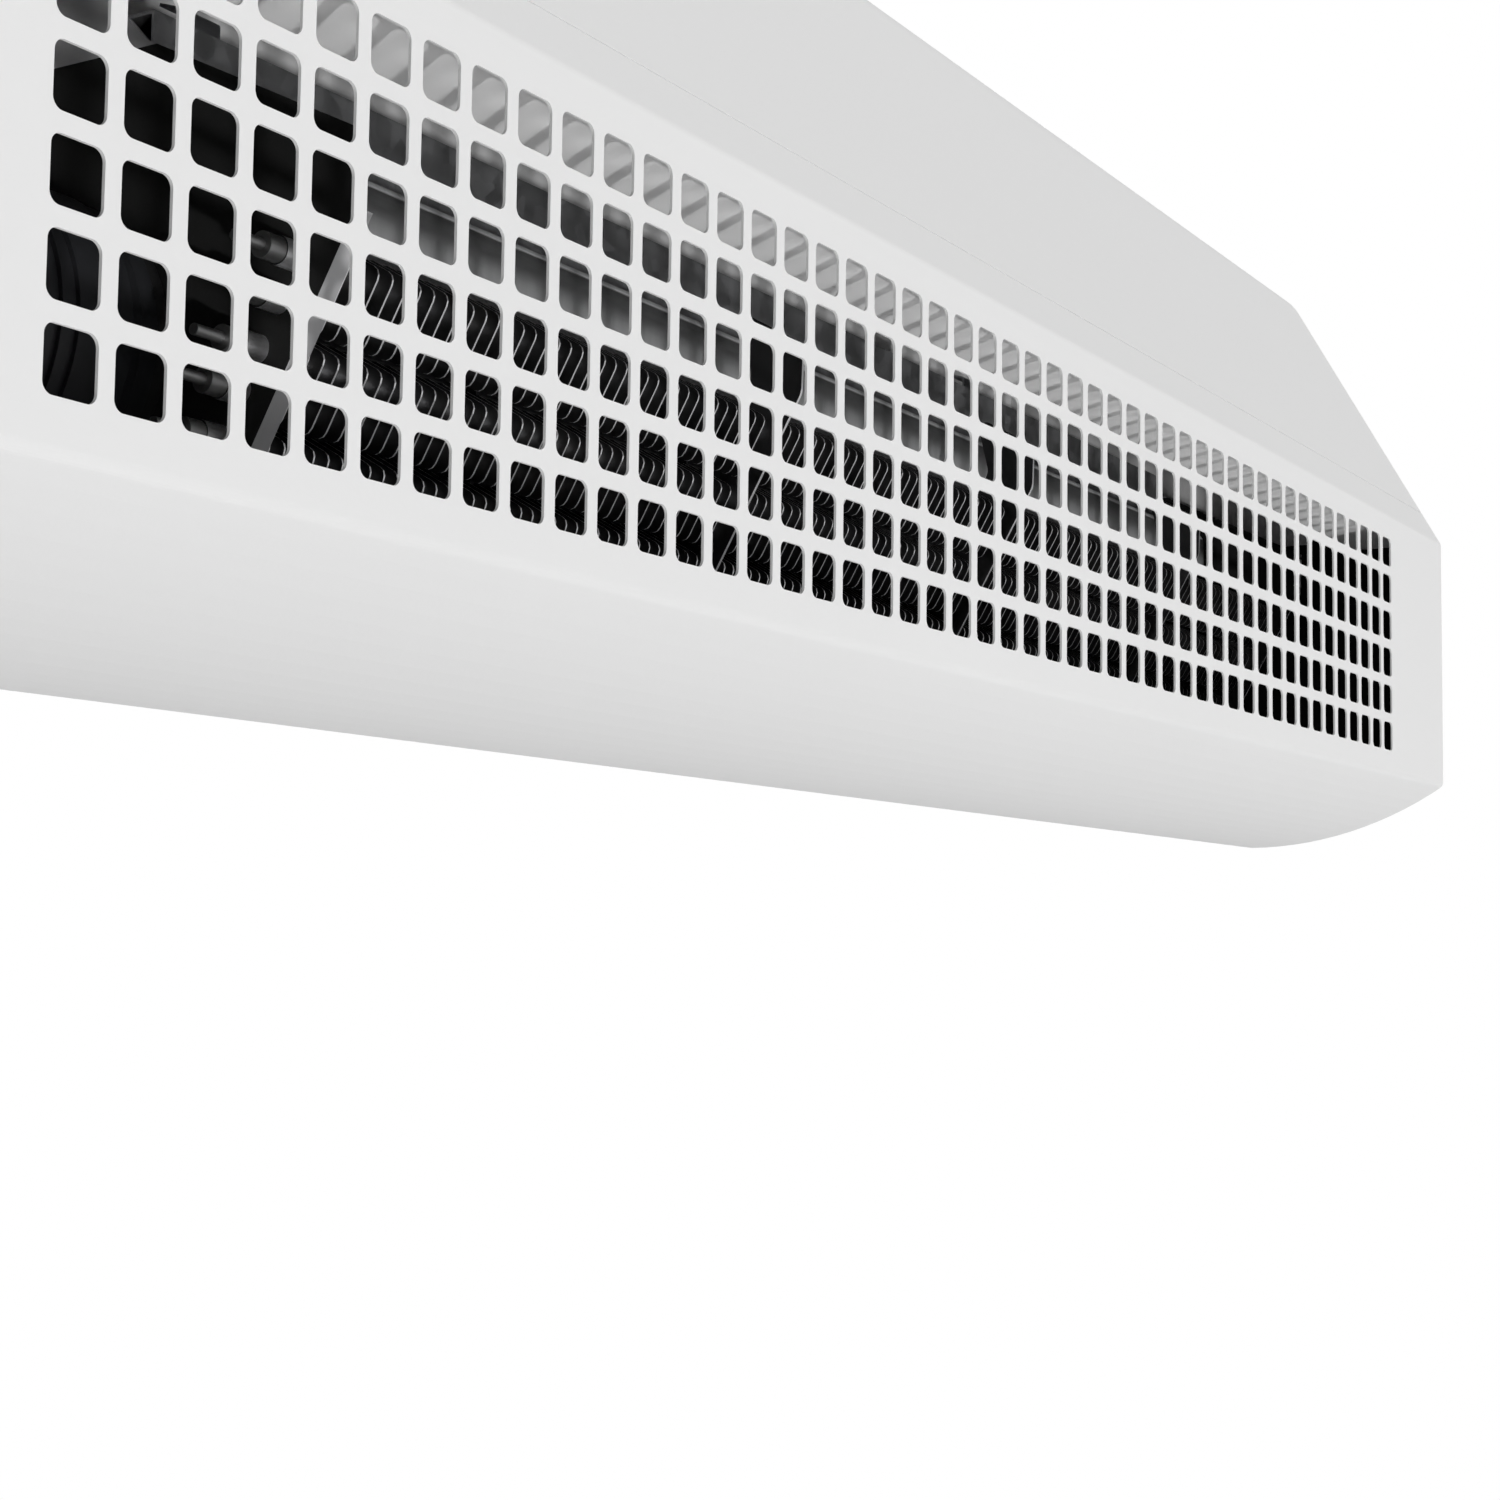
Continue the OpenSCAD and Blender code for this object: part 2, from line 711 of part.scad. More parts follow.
module motor_shaft() color(steel) in_frame()
  rod_x(shaft_r - 0.01, motor_x0 - 6, cage_x0 + hub_l, [rotor_u, rotor_v]);

module end_shaft() color(steel) in_frame()
  rod_x(stub_r - 0.01, cage_x1 - hub_l, bulk_right + bulk_t + 8, [rotor_u, rotor_v]);

// The motor: a cylindrical body with cooling grooves, a nose and a flange
groove_n = 7;
groove_d = 1.5;
function groove_points() = [
  for (k = [0:groove_n - 1])
    let (x = 22 + k * 6)
    each [[motor_r, x], [motor_r - groove_d, x], [motor_r - groove_d, x + 3], [motor_r, x + 3]]
];
module motor() color(black) in_frame() difference() {
  translate([motor_x0, rotor_u, rotor_v]) rotate([90, 0, 90]) rotate_extrude() polygon(concat(
    [[shaft_r + running, 0], [motor_r - 12, 0], [motor_r - 4, 3], [motor_r, 10]],
    groove_points(),
    [[motor_r, motor_l - 10], [motor_r - 1, motor_l - 6], [motor_r - 1, motor_l]],
    [[shaft_r + running, motor_l]]
  ));
  for (p = motor_holes) rod_x(screw_r, motor_x1 - 8, motor_x1 + 1, p);
}

module motor_ring() color(rubber) in_frame() difference() {
  ring_x(motor_r - 1, ring_in, motor_x1, bulk_left, [rotor_u, rotor_v]);
  for (p = motor_holes) rod_x(screw_r + 0.1, motor_x1 - 1, bulk_left + 1, p);
}

module motor_screws() color(steel) in_frame() for (p = motor_holes)
  translate([bulk_left + bulk_t, p[0], p[1]]) rotate([0, 90, 0]) pan_screw(screw_r, bulk_t + ring_t + 7);

rubber_r = 16;
bearing_r = 9;
bearing_w = 10;
bearing_x = bulk_right + bulk_t / 2;

module bearing() color(brass) in_frame()
  ring_x(bearing_r, stub_r + running - 0.01, bearing_x - bearing_w / 2, bearing_x + bearing_w / 2, [rotor_u, rotor_v]);

// A rubber bush, grooved to sit in the bulkhead's hole
module bearing_rubber() color(rubber) in_frame()
  translate([bearing_x, rotor_u, rotor_v]) rotate([90, 0, 90]) rotate_extrude() polygon([
    [bearing_r, -5], [rubber_r + 2.5, -3.4], [rubber_r + 2.5, -bulk_t / 2],
    [rubber_r, -bulk_t / 2], [rubber_r, bulk_t / 2],
    [rubber_r + 2.5, bulk_t / 2], [rubber_r + 2.5, 3.4], [bearing_r, 5]
  ]);

// ---------------------------------------------------------------- heater

bank_centres = [for (k = [0:2]) bank_top + bank_down * (head_drop + bank_pitch * k)];
tube_centres = [for (c = bank_centres, s = [-0.5, 0.5]) c + bank_down * leg_gap * s];
fin_corner = 3;

// One fin's outline: a rounded rectangle that leans with the bank
function fin_outline() = rounded_loop([
  for (q = [[-1, -1], [1, -1], [1, 1], [-1, 1]])
    concat(bank_back * fin_d / 2 * q[0] + bank_down * fin_h / 2 * q[1], [fin_corner])
]);

// Fins stand at one pitch over the bay, clear of the support plates
first_fin = bay_l + 8;
fin_n = floor((bay_r - bay_l - 16) / fin_pitch);
function clear_of_plates(x) = min([for (p = plate_xs) abs(x + fin_t / 2 - p - plate_t / 2)]) > 2.5;

module heater_element(k) color(steel) in_frame() {
  c = bank_centres[k];
  for (i = [0:fin_n])
    if (clear_of_plates(first_fin + i * fin_pitch))
      along_x(first_fin + i * fin_pitch, first_fin + i * fin_pitch + fin_t)
        translate(c) polygon(fin_outline());
  for (s = [-0.5, 0.5])
    rod_x(tube_r, bulk_left - tube_tail, bulk_right + hairpin_out, c + bank_down * leg_gap * s);
}
module heater_element_upper() heater_element(0);
module heater_element_middle() heater_element(1);
module heater_element_lower() heater_element(2);

// The U-bends that join the two legs of each heating tube beyond the right bulkhead
module heater_bends() color(steel) in_frame() for (c = bank_centres)
  translate([bulk_right + hairpin_out, c[0], c[1]]) rotate([bank_tilt, 0, 0]) rotate([90, 0, 0])
    rotate_extrude(angle = 180, start = -90) translate([leg_gap / 2, 0]) circle(r = tube_r);

// Support plates: the front edge follows the bank, and above it leans back to the rail
plate_half = fin_d / 2 + plate_margin;
plate_loop = rounded_loop([
  for (q = [
    [-plate_half, -head + 1, 8],
    [-plate_half + 8, -head - 14, 3],
    [rail_reach, -head - 14, 3],
    [fin_d / 2, -head + 4, 6],
    [fin_d / 2, bank_end + 2, 2],
    [-plate_half, bank_end + 2, 4]
  ])
    concat(bank_top + bank_back * q[0] + bank_down * q[1], [q[2]])
], 5);

module heater_plates() color(zinc) in_frame() for (x = plate_xs) along_x(x, x + plate_t) difference() {
  polygon(plate_loop);
  for (c = tube_centres) translate(c) circle(r = tube_r + 0.1);
}

// The channel across the head of the heater, with a rounded upper edge
module fan_rail() color([0.85, 0.86, 0.87]) in_frame() bent_sheet(rounded([
  [rail_u + rail_depth, rail_v, 0],
  [rail_u, rail_v, 1.5],
  [rail_u, rail_v + rail_h, rail_r],
  [rail_u + rail_depth, rail_v + rail_h, 0]
]), -rail_t, bay_l + fit, bay_r - fit);

// The cover over the fan: it lies on the rail, rises and runs back to the back plate
module fan_cover() color(zinc) in_frame() bent_sheet([
  [rail_u + rail_r + 1, rail_v + rail_h + eps],
  [rail_u + 25, rail_v + rail_h + eps],
  [rail_u + 25, fan_top],
  [back_in - fit - sheet_t, fan_top],
  [back_in - fit - sheet_t, fan_top + 16]
], 1, bay_l + fit, bay_r - fit);

// Two clips on the fan cover for the wires of the cut-out: a foot, an upright and a rolled eye
clip_xs = [-235, 285];
clip_w = 16;
clip_u = rail_u + 40;
clip_h = 14;
module wire_clips() color(steel) in_frame() for (x = clip_xs) union() {
  bent_sheet(rounded([
    [clip_u + 14, fan_top + 1 + eps, 0],
    [clip_u, fan_top + 1 + eps, 1.5],
    [clip_u, fan_top + clip_h, 1.5],
    [clip_u + 9, fan_top + clip_h + 3, 0]
  ]), -1, x, x + clip_w);
  translate([x + clip_w / 2, clip_u + 9, fan_top + 2]) cylinder(r = 2.4, h = 1.6);
}

// The lower rail, a channel that the feet of the support plates stand in
foot_at = bank_top + bank_down * (bank_end + 2);
module heater_lower_rail() color(zinc) in_frame() bent_sheet([
  foot_at + bank_back * (fin_d / 2 + fit) - bank_down * 7,
  foot_at + bank_back * (fin_d / 2 + fit) + bank_down * 0.1,
  foot_at - bank_back * (plate_half + fit) + bank_down * 0.1,
  foot_at - bank_back * (plate_half + fit) - bank_down * 7
], 1, bay_l + fit, bay_r - fit);

// Ceramic collars and studs on the ends of the heating tubes
module heater_terminals() color(brass) in_frame() for (c = tube_centres) union() {
  rod_x(tube_r - 0.4, bulk_left - tube_tail - 6, bulk_left - tube_tail, c);
  rod_x(1.6, bulk_left - tube_tail - 16, bulk_left - tube_tail - 6 + eps, c);
}

thermostat_r = 11;
thermostat_at = [rotor_u + 20, rotor_v + motor_r + 50 + thermostat_r];
module thermostat() color(black) in_frame() union() {
  rod_x(thermostat_r, bulk_left - 5, bulk_left, thermostat_at);
  rod_x(thermostat_r - 3.5, bulk_left - 13, bulk_left - 5 + eps, thermostat_at);
}

// ---------------------------------------------------------------- outlet

rim_w = 4;

// A frame round the outlet: two long walls, two cheeks with the vane pivots, a rim below
module outlet_frame() color(white) in_frame() difference() {
  union() {
    translate([out_x0, out_front - out_t, base_v - out_t])
      cube([out_x1 - out_x0, out_back - out_front + 2 * out_t, out_top - base_v + out_t]);
    translate([out_x0 - rim_w, out_front - out_t - rim_w, base_v - out_t])
      cube([out_x1 - out_x0 + 2 * rim_w, out_back - out_front + 2 * (out_t + rim_w), out_t]);
  }
  translate([out_x0 + cheek_t, out_front, base_v - out_t - 1])
    cube([out_x1 - out_x0 - 2 * cheek_t, out_back - out_front, out_top + 10]);
  for (k = [0:vane_n - 1]) {
    rod_x(vane_pin_r + running, out_x0 - 1, out_x0 + cheek_t + 1, vane_at(k));
    rod_x(vane_pin_r + running, out_x1 - cheek_t - 1, out_x1 + 1, vane_at(k));
  }
}

function vane_at(k) = [out_front + vane_step * (k + 0.5), vane_v];

// A vane's section: a lens, thickest at the pivot
vane_steps = 6;
function vane_side(s) = [
  for (k = [0:vane_steps])
    let (q = -1 + 2 * k / vane_steps)
    [s * (0.4 + (vane_t / 2 - 0.4) * (1 - q * q)), s * q * vane_chord / 2]
];

module vane(k) color(white) in_frame() union() {
  along_x(vane_x0, vane_x1) translate(vane_at(k)) union() {
    polygon(concat(vane_side(1), vane_side(-1)));
    circle(r = vane_pin_r);
  }
  rod_x(vane_pin_r, out_x0 + 0.2, vane_x0 + eps, vane_at(k));
  rod_x(vane_pin_r, vane_x1 - eps, out_x1 - 0.2, vane_at(k));
  rod_x(crank_r, vane_x1 - 6, vane_x1 + link_t + 0.5, vane_at(k) + [0, crank_h]);
}
module vane_front() vane(0);
module vane_middle() vane(1);
module vane_rear() vane(2);

link_w = 8;
link_play = 0.15;  // round a crank pin, along the link
link_drop = 0.7;   // the pins sink this far in their slots as the vanes tilt
module vane_link() color(steel) in_frame()
  along_x(vane_x1 + 0.3, vane_x1 + 0.3 + link_t) difference() {
    union() {
      translate(vane_at(0) + [0, crank_h - link_w / 2]) square([vane_step * (vane_n - 1), link_w]);
      for (k = [0, vane_n - 1]) translate(vane_at(k) + [0, crank_h]) circle(d = link_w);
    }
    for (k = [0:vane_n - 1]) translate(vane_at(k) + [0, crank_h - link_drop / 2]) {
      square([2 * (crank_r + link_play), link_drop], center = true);
      for (s = [-1, 1]) translate([0, s * link_drop / 2]) circle(r = crank_r + link_play);
    }
  }

// ---------------------------------------------------------------- electrics, in the left bay

control_x0 = -end_in + 20;
control_l = 90;
control_v0 = 150;
control_h = 90;
stand_off = 8;
control_u = back_in - stand_off;

module control_plate() color(zinc) in_frame() bent_sheet([
  [back_in, control_v0 + control_h + 12],
  [back_in, control_v0 + control_h],
  [control_u, control_v0 + control_h],
  [control_u, control_v0],
  [back_in, control_v0],
  [back_in, control_v0 - 12]
], -1, control_x0, control_x0 + control_l);

module control_board() color(board_green) in_frame() {
  translate([control_x0 + 8, control_u - 5.6, control_v0 + 10]) cube([control_l - 16, 1.6, 45]);
  for (x = [14, control_l - 14], v = [14, 50])
    rod_y(2, control_u - 4.5, control_u - 1, [control_x0 + x, control_v0 + v]);
  for (x = [14, 34]) translate([control_x0 + x, control_u - 20, control_v0 + 20]) cube([16, 15, 20]);
  translate([control_x0 + 58, control_u - 16, control_v0 + 22]) cube([12, 11, 25]);
}

// The terminal block over the board: screws in front, and pockets for the wires below
ways = 6;
way_pitch = 12;
block_x0 = control_x0 + 6;
block_v0 = control_v0 + 64;
block_u = 16;
block_v = 18;
module terminal_block() color([0.88, 0.87, 0.82]) in_frame() difference() {
  translate([block_x0, control_u - 1 - block_u, block_v0]) cube([ways * way_pitch, block_u, block_v]);
  for (k = [0:ways - 1]) {
    x = block_x0 + (k + 0.5) * way_pitch;
    rod_y(2.4, control_u - block_u - 2, control_u - 8, [x, block_v0 + block_v / 2]);
    translate([x - 3, control_u - 12, block_v0 - 1]) cube([6, 6, 6]);
  }
}

can_r = 15;
can_l = 70;
can_stud_r = 4;
can_at = [back_in - can_r - 0.2, control_v0 - 60];
module motor_capacitor() color([0.9, 0.9, 0.9]) in_frame() union() {
  rod_x(can_r, control_x0 + 4, control_x0 + 4 + can_l, can_at);
  rod_x(can_stud_r, control_x0, control_x0 + 4 + eps, can_at);
}

gland_x = -end_in + 65;
gland_v = 40;
gland_r = 8;
gland_bore = 5.5;
module cable_gland() color(black) in_frame()
  translate([gland_x, back_in, gland_v]) rotate([-90, 0, 0]) rotate_extrude() polygon([
    [gland_bore, -14], [gland_r + 3, -14], [gland_r + 3, -0.05], [gland_r, -0.05],
    [gland_r, sheet_t + 0.05], [gland_r + 2.5, sheet_t + 0.05],
    [gland_r + 2.5, 6], [gland_r + 0.5, 9], [gland_bore, 9]
  ]);

wall_bracket();
hanger_rail();
back_plate();
hood();
seam_strip();
spring_clips();
front_cover();
cover_ledge();
cover_ears();
hinge_pins();
end_panel_left();
end_panel_right();
end_angles();
casing_screws();
base_panel();
suspension_nuts();
bulkhead_left();
bulkhead_right();
scroll();
tongue_plate();
rotor_cage();
motor_shaft();
end_shaft();
motor();
motor_ring();
motor_screws();
bearing();
bearing_rubber();
fan_rail();
fan_cover();
wire_clips();
heater_lower_rail();
heater_plates();
heater_element_upper();
heater_element_middle();
heater_element_lower();
heater_bends();
heater_terminals();
thermostat();
outlet_frame();
vane_front();
vane_middle();
vane_rear();
vane_link();
control_plate();
control_board();
terminal_block();
motor_capacitor();
cable_gland();
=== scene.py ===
"""Finishes, stage and camera for a wall-hung air curtain, laid out as a Blender add-on."""
import math

import bpy
from mathutils import Matrix, Vector

bl_info = {
    "name": "Air curtain finishes",
    "version": (1, 0, 0),
    "blender": (4, 5, 0),
    "location": "View3D > Sidebar > Air curtain",
    "description": "Finishes the parts of an air curtain and sets its stage and camera",
    "category": "Material",
}

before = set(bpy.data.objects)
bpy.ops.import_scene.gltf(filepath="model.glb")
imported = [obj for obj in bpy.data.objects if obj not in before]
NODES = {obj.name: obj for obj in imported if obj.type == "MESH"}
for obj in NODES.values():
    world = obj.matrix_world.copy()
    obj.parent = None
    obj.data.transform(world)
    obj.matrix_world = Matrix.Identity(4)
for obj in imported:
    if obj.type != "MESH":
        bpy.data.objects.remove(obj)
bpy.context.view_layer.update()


# ------------------------------------------------------------------ shader maths

# The Mix node's sockets share their names, so its colours go by number
MIX_FACTOR, MIX_COLOUR_LOW, MIX_COLOUR_HIGH = 0, 6, 7
MIX_COLOUR_RESULT = 2

WHITE = (1.0, 1.0, 1.0)


class Wire:
    """One socket of a material, with arithmetic that adds Math nodes."""

    def __init__(self, paint, socket):
        self.paint = paint
        self.socket = socket

    def _math(self, operation, *values):
        return self.paint.node(
            "ShaderNodeMath", {"operation": operation}, dict(enumerate(values)))

    def __add__(self, other):
        return self._math("ADD", self, other)

    def __radd__(self, other):
        return self._math("ADD", other, self)

    def __sub__(self, other):
        return self._math("SUBTRACT", self, other)

    def __rsub__(self, other):
        return self._math("SUBTRACT", other, self)

    def __mul__(self, other):
        return self._math("MULTIPLY", self, other)

    def __rmul__(self, other):
        return self._math("MULTIPLY", other, self)

    def __truediv__(self, other):
        return self._math("DIVIDE", self, other)

    def __rtruediv__(self, other):
        return self._math("DIVIDE", other, self)

    def over(self, edge):
        """1 where this is greater than the edge, and 0 elsewhere."""
        return self._math("GREATER_THAN", self, edge)

    def sine(self):
        return self._math("SINE", self)

    def clamped(self):
        return self.paint.node("ShaderNodeClamp", {}, {0: self})

    def out(self, name):
        """Another output of the same node."""
        return Wire(self.paint, self.socket.node.outputs[name])


def tinted(colour, factor):
    """The colour made darker or lighter, and no lighter than white."""
    return [min(1.0, part * factor) for part in colour]


def varied(middle, *masks):
    """A value round the middle, which each (mask, share) moves by half its share either way."""
    total = middle - sum(share for _, share in masks) / 2.0
    for mask, share in masks:
        total = mask * share + total
    return total


class Paint:
    """A material, or a world, under construction."""

    def __init__(self, name, library=None):
        self.material = (bpy.data.materials if library is None else library).new(name)
        self.material.use_nodes = True
        self.tree = self.material.node_tree
        self.tree.nodes.clear()
        self.place = self.node("ShaderNodeTexCoord", {}, {}).out("Object")
        self.facing = self.place.out("Normal")

    def node(self, kind, settings, sockets):
        """Add a node of one type, set it up, and then fill or link its sockets."""
        made = self.tree.nodes.new(kind)
        for key, value in settings.items():
            if key == "stops":
                ramp = made.color_ramp
                while len(ramp.elements) < len(value):
                    ramp.elements.new(0.5)
                for stop, (at, colour) in zip(ramp.elements, value):
                    stop.position = at
                    stop.color = (*colour, 1.0)
            else:
                setattr(made, key, value)
        for key, value in sockets.items():
            socket = made.inputs[key]
            if isinstance(value, Wire):
                self.tree.links.new(value.socket, socket)
            elif hasattr(socket.default_value, "__len__") and len(socket.default_value) == 4:
                socket.default_value = (*value[:3], 1.0)
            else:
                socket.default_value = value
        outs = [o for o in made.outputs if o.enabled]
        return Wire(self, outs[0]) if outs else None

    def stretched(self, x, y, z):
        """The place on the piece, with more cells along an axis for a larger number."""
        return self.node("ShaderNodeMapping", {}, {"Vector": self.place, "Scale": (x, y, z)})

    def axis(self, letter, vector):
        """One part of a vector, such as the height of a place."""
        return self.node("ShaderNodeSeparateXYZ", {}, {0: vector}).out(letter)

    def noise(self, cells, detail=3.0, rough=0.5, at=None):
        """Soft noise from 0 to 1, with so many cells in one metre."""
        return self.node("ShaderNodeTexNoise", {}, {
            "Vector": at or self.place, "Scale": cells, "Detail": detail, "Roughness": rough,
        })

    def crystals(self, cells):
        """Sharp cells, each with an even shade of its own from 0 to 1."""
        flakes = self.node("ShaderNodeTexVoronoi", {}, {"Vector": self.place, "Scale": cells})
        return self.node("ShaderNodeSeparateColor", {}, {0: flakes.out("Color")})

    def blend(self, mask, low, high):
        """One colour where the mask is 0, and the other where it is 1."""
        mixed = self.node("ShaderNodeMix", {"data_type": "RGBA"}, {
            MIX_FACTOR: mask, MIX_COLOUR_LOW: low, MIX_COLOUR_HIGH: high,
        })
        return Wire(self, mixed.socket.node.outputs[MIX_COLOUR_RESULT])

    def shades(self, mask, colour, low, high):
        """The colour times low where the mask is 0, and times high where it is 1."""
        return self.blend(mask, tinted(colour, low), tinted(colour, high))

    def ramp(self, mask, stops):
        """A colour that goes from stop to stop, each (mask value, colour), as the mask grows."""
        return self.node("ShaderNodeValToRGB", {"stops": stops}, {0: mask})

    def bump(self, height, strength, depth):
        return self.node("ShaderNodeBump", {}, {
            "Height": height, "Strength": strength, "Distance": depth,
        })

    def finish(self, **sockets):
        """Close the material with a Principled shader, and give it back."""
        names = {
            "colour": "Base Color", "rough": "Roughness", "metal": "Metallic",
            "normal": "Normal", "level": "Specular IOR Level",
        }
        shader = self.node(
            "ShaderNodeBsdfPrincipled", {}, {names[key]: value for key, value in sockets.items()})
        self.node("ShaderNodeOutputMaterial", {}, {"Surface": shader})
        return self.material

    def finish_white(self, kind, shader, output):
        """Show plain white to the camera, in gloss and in glass, and the shader to other rays."""
        ray = self.node("ShaderNodeLightPath", {}, {})
        seen = (ray.out("Is Camera Ray") + ray.out("Is Glossy Ray")
                + ray.out("Is Transmission Ray")).clamped()
        show = self.node(kind, {}, {"Color": WHITE, "Strength": 1.0})
        both = self.node("ShaderNodeMixShader", {}, {0: seen, 1: shader, 2: show})
        self.node(output, {}, {"Surface": both})
        return self.material


# ------------------------------------------------------------------ finishes

# Noise is in cells in one metre, and the depth of a bump in metres
PEEL_CELLS = 620.0
CLOUD_CELLS = 6.0
BULKHEAD_CLOUD_CELLS = 9.0
PAINT_DEPTH = 0.0004
PAINT_BUMP = 0.05
PAINT_GLEAM = 0.2

SHADE_MOTTLE_CELLS = 1500.0
PAINTED_SHADE_DULLS = 0.4
# Painted shade: the end panels' inner sides are painted dark where shade falls, in front of the
# front limit and below the panel's top limit, both given below
PAINTED_SHADE_FRONT = -0.180
PANEL_PAINTED_SHADE_TOP = -0.088
BULKHEAD_PAINTED_SHADE_TOP = -0.060

EDGE_SEGMENTS = 2
SHARP_ANGLE = math.radians(35.0)

ROLLED_CELLS = 60.0
ZINC_DEPTH = 0.0004
DRAWN_CELLS = 90.0
SMEAR_CELLS = 9.0
STEEL_DEPTH = 0.0003
STREAK_CELLS = 30.0
# Painted reflection on the rail: share of the rail's height, and how bright the sheet is painted
# there
RAIL_PAINTED_REFLECTION = (
    (0.0, 0.75), (0.35, 0.4), (0.68, 0.12), (0.8, 0.06), (0.84, 1.0), (0.93, 1.0), (0.97, 0.05),
)

HEAT_CELLS = 14.0
FIN_GRAIN_CELLS = 420.0
FIN_DEPTH = 0.0002

MARK_CELLS = 40.0
MOULDING_DEPTH = 0.0003
FINE_GRAIN_CELLS = 900.0
RUBBER_GRAIN_CELLS = 700.0
CASTING_GRAIN_CELLS = 500.0

TRACK_CELLS = 120.0
TRACKS_ALONG, TRACKS_ACROSS = 1400.0, 900.0
TRACK_DEPTH = 0.0001


def powder_tones(p, colour):
    """The fine peel, the faint clouds and the colour of smooth powder paint."""
    peel = p.noise(PEEL_CELLS, 2.0, 0.55)
    cloud = p.noise(CLOUD_CELLS)
    return peel, cloud, p.shades(cloud, colour, 0.985, 1.012)


def painted_shade_tones(p, painted_shade_colour):
    """The dark colour of the painted shade, with a loose mottle."""
    return p.shades(p.noise(SHADE_MOTTLE_CELLS, 4.0, 0.7), painted_shade_colour, 0.6, 1.4)


def powder_paint(name, colour, rough):
    """Smooth powder paint: a fine peel, and a faint change of gloss over the sheet."""
    p = Paint(name)
    peel, cloud, tone = powder_tones(p, colour)
    return p.finish(
        colour=tone, rough=varied(rough, (cloud, 0.08), (peel, 0.05)),
        normal=p.bump(peel, PAINT_BUMP, PAINT_DEPTH), level=PAINT_GLEAM,
    )


def panel_with_painted_shade(name, colour, rough, painted_shade_colour, inward):
    """Powder paint outside, and a dark painted shade on the side that faces inward, low down and
    in front.
    """
    p = Paint(name)
    peel, cloud, tone = powder_tones(p, colour)
    low = (PANEL_PAINTED_SHADE_TOP - p.axis("Z", p.place)).over(0.0)
    ahead = (PAINTED_SHADE_FRONT - p.axis("Y", p.place)).over(0.0)
    # Where the painted shade goes: the inner side, either low down or in front
    painted_shade = (p.axis("X", p.facing) * inward).over(0.5) * (low + ahead).clamped()
    return p.finish(
        colour=p.blend(painted_shade, tone, painted_shade_tones(p, painted_shade_colour)),
        rough=varied(rough, (cloud, 0.08)) + painted_shade * PAINTED_SHADE_DULLS,
        normal=p.bump(peel, PAINT_BUMP, PAINT_DEPTH), level=PAINT_GLEAM,
    )


def bulkhead_with_painted_shade(name, colour, rough, painted_shade_colour):
    """Painted bulkhead whose flat sides are painted dark low down, as painted shade."""
    p = Paint(name)
    cloud = p.noise(BULKHEAD_CLOUD_CELLS)
    tone = p.shades(cloud, colour, 0.9, 1.0)
    side = p.axis("X", p.facing)
    # Painted shade: dark on the flat sides below the bulkhead's top limit
    painted_shade = (side * side).over(0.5) * (BULKHEAD_PAINTED_SHADE_TOP - p.axis("Z", p.place)).over(0.0)
    return p.finish(
        colour=p.blend(painted_shade, tone, painted_shade_tones(p, painted_shade_colour)),
        rough=varied(rough, (cloud, 0.1)) + painted_shade * PAINTED_SHADE_DULLS,
        normal=p.bump(cloud, PAINT_BUMP, PAINT_DEPTH),
    )


def zinc_sheet(name, colour, rough, spangle):
    """Galvanised sheet: cool crystals of slightly different shine, rolled along the unit."""
    p = Paint(name)
    shade = p.crystals(spangle)
    rolled = p.noise(ROLLED_CELLS, 4.0, 0.6, p.stretched(0.06, 3.0, 3.0))
    mix = (shade * 0.6 + rolled * 0.5).clamped()
    return p.finish(
        colour=p.shades(mix, colour, 0.78, 1.12), metal=1.0,
        rough=varied(rough, (shade, 0.12), (rolled, 0.18)),
        normal=p.bump(rolled + shade * 0.3, 0.08, ZINC_DEPTH),
    )


def drawn_lines(p, along):
    """Fine lines drawn along the unit."""
    return p.noise(DRAWN_CELLS, 5.0, 0.65, p.stretched(along, 8.0, 8.0))


def bright_steel(name, colour, rough):
    """Bright steel with fine drawn lines along the unit."""
    p = Paint(name)
    drawn = drawn_lines(p, 1.0)
    smear = p.noise(SMEAR_CELLS)
    return p.finish(
        colour=p.shades(drawn * 0.7 + smear * 0.3, colour, 0.82, 1.1), metal=1.0,
        rough=varied(rough, (drawn, 0.16), (smear, 0.1)),
        normal=p.bump(drawn, 0.06, STEEL_DEPTH),
    )


def rail_with_painted_reflection(name, colour, foot, height):
    """Rail with a painted reflection: a bright painted highlight on the rounded top edge with a
    dark line above it, a dark painted band below it, and a face painted darker upward.
    """
    p = Paint(name)
    drawn = drawn_lines(p, 0.4)
    streak = p.noise(STREAK_CELLS, 4.0, 0.6, p.stretched(6.0, 1.0, 0.4))
    up = (p.axis("Z", p.place) - foot) / height + (drawn - 0.5) * 0.05
    # Painted reflection and shade in bands up the rail's height
    face = p.ramp(up, [(at, tinted(colour, bright)) for at, bright in RAIL_PAINTED_REFLECTION])
    return p.finish(
        colour=p.blend(streak * 0.5, face, tinted(colour, 0.15)), metal=0.25,
        rough=varied(0.34, (drawn, 0.16)), normal=p.bump(drawn, 0.06, STEEL_DEPTH),
    )


